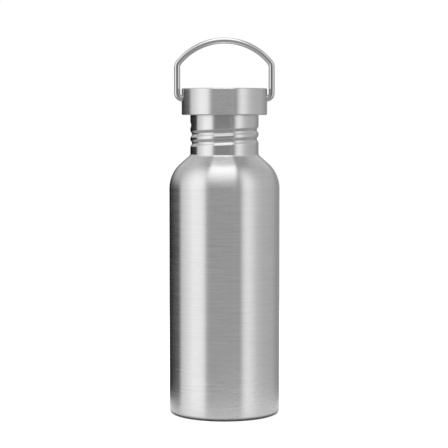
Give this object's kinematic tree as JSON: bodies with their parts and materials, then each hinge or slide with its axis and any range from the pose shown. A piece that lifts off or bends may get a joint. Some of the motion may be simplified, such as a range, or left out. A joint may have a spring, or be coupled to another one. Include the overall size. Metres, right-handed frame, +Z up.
{
  "type": "insulated water bottle",
  "caption": "Insulated stainless steel water bottle with a rolled-thread neck, steel screw cap and swinging wire handle.",
  "frame": {"origin": "centre of the base, on the surface that the bottle stands on", "axes": "+Z up along the bottle's axis, X along the handle's pivot, front towards -Y"},
  "size_m": [0.073, 0.073, 0.2492],
  "materials": {
    "body_steel": "fine brushing round the bottle",
    "base_steel": "circular brushing",
    "flask_steel": "satin, electropolished inside",
    "cap_steel": "fine brushing round the cap",
    "liner_steel": "satin",
    "wire_steel": "drawn and polished",
    "spring_steel": "plain",
    "foil_copper": "bright foil",
    "getter_alloy": "pressed powder",
    "bead_glass": "fused bead",
    "core_plastic": "moulded, natural white, fine matt",
    "bush_nylon": "moulded nylon",
    "foam": "closed-cell foam",
    "silicone": "translucent silicone"
  },
  "bodies": {
    "bottle": {"outer_shell": "body_steel", "outer_base": "body_steel", "base_cover": "base_steel", "vacuum_seal_bead": "bead_glass", "inner_flask": "flask_steel", "inner_base": "flask_steel", "copper_foil": "foil_copper", "getter_tablet": "getter_alloy", "getter_holder": "spring_steel"},
    "seal": {"cap_seal": "silicone"},
    "cap": {"cap_shell": "cap_steel", "cap_core": "core_plastic", "core_lid": "core_plastic", "plug_liner": "liner_steel", "cap_insulation": "foam", "handle_bush_left": "bush_nylon", "handle_bush_right": "bush_nylon"},
    "handle": {"handle_wire": "wire_steel", "handle_clip_left": "spring_steel", "handle_clip_right": "spring_steel"}
  },
  "joints": [
    {"name": "cap_lift", "type": "slide", "parent": "bottle", "child": "seal", "axis": [0, 0, 1], "range_m": [0, 0.03]},
    {"name": "cap_turn", "type": "hinge", "parent": "seal", "child": "cap", "pos_m": [0, 0, 0.2018], "axis": [0, 0, 1], "range_deg": [0, 1800]},
    {"name": "handle_swing", "type": "hinge", "parent": "cap", "child": "handle", "pos_m": [0, 0, 0.2091], "axis": [1, 0, 0], "range_deg": [-139, 139]}
  ],
  "couplings": [
    {"joint": "cap_lift", "follows": "cap_turn", "m_per_rad": 0.00095492}
  ]
}
